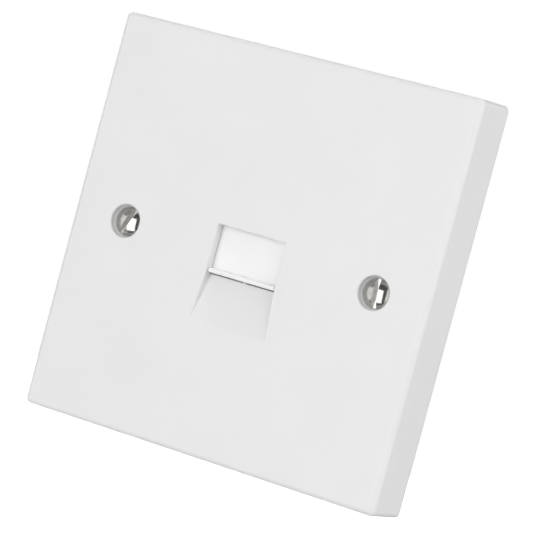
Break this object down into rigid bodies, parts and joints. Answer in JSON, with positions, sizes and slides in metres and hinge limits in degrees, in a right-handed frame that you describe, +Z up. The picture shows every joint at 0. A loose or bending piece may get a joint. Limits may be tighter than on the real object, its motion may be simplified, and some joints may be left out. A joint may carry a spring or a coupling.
{
  "type": "telephone wall socket",
  "caption": "Square white wall plate with a shuttered telephone jack and a plug ramp below it, held by domed slotted screws, with a jack module and wire terminals behind.",
  "frame": {"origin": "on the wall plane (the face plate's rear rim), midway between the two fixing screws", "axes": "+X right and +Z up as seen from the room, +Y into the wall; the plate's front faces -Y"},
  "size_m": [0.086, 0.0294, 0.086],
  "materials": {
    "face_plate": "smooth glossy moulded white",
    "shutter": "smooth moulded white",
    "shutter_spring": "drawn spring wire",
    "jack_body": "satin moulded white",
    "contact_carrier": "satin moulded black",
    "circuit_board": "green solder mask",
    "contact_wire": "gold flash on spring bronze",
    "terminal_strip": "satin moulded white",
    "terminal_fork": "tinned sheet bronze",
    "module_screw": "zinc plated",
    "fixing_screw": "bright nickel plate, polished dome",
    "screw_retainer": "natural soft plastic"
  },
  "bodies": {
    "socket": {"face_plate": "face_plate", "shutter_spring": "shutter_spring", "jack_body": "jack_body", "contact_carrier": "contact_carrier", "circuit_board": "circuit_board", "contact_wire_1": "contact_wire", "contact_wire_2": "contact_wire", "contact_wire_3": "contact_wire", "contact_wire_4": "contact_wire", "contact_wire_5": "contact_wire", "contact_wire_6": "contact_wire", "terminal_strip_left": "terminal_strip", "module_screw_left": "module_screw", "fixing_screw_left": "fixing_screw", "screw_retainer_left": "screw_retainer", "terminal_strip_right": "terminal_strip", "module_screw_right": "module_screw", "fixing_screw_right": "fixing_screw", "screw_retainer_right": "screw_retainer", "terminal_fork_1": "terminal_fork", "terminal_fork_2": "terminal_fork", "terminal_fork_3": "terminal_fork", "terminal_fork_4": "terminal_fork", "terminal_fork_5": "terminal_fork", "terminal_fork_6": "terminal_fork"},
    "shutter": {"shutter": "shutter"}
  },
  "joints": [
    {"name": "shutter_slide", "type": "slide", "parent": "socket", "child": "shutter", "axis": [0, 0, 1], "range_m": [0, 0.0085], "stiffness_N_per_m": 60, "springref_m": -0.01, "deforming": ["shutter_spring"]}
  ]
}
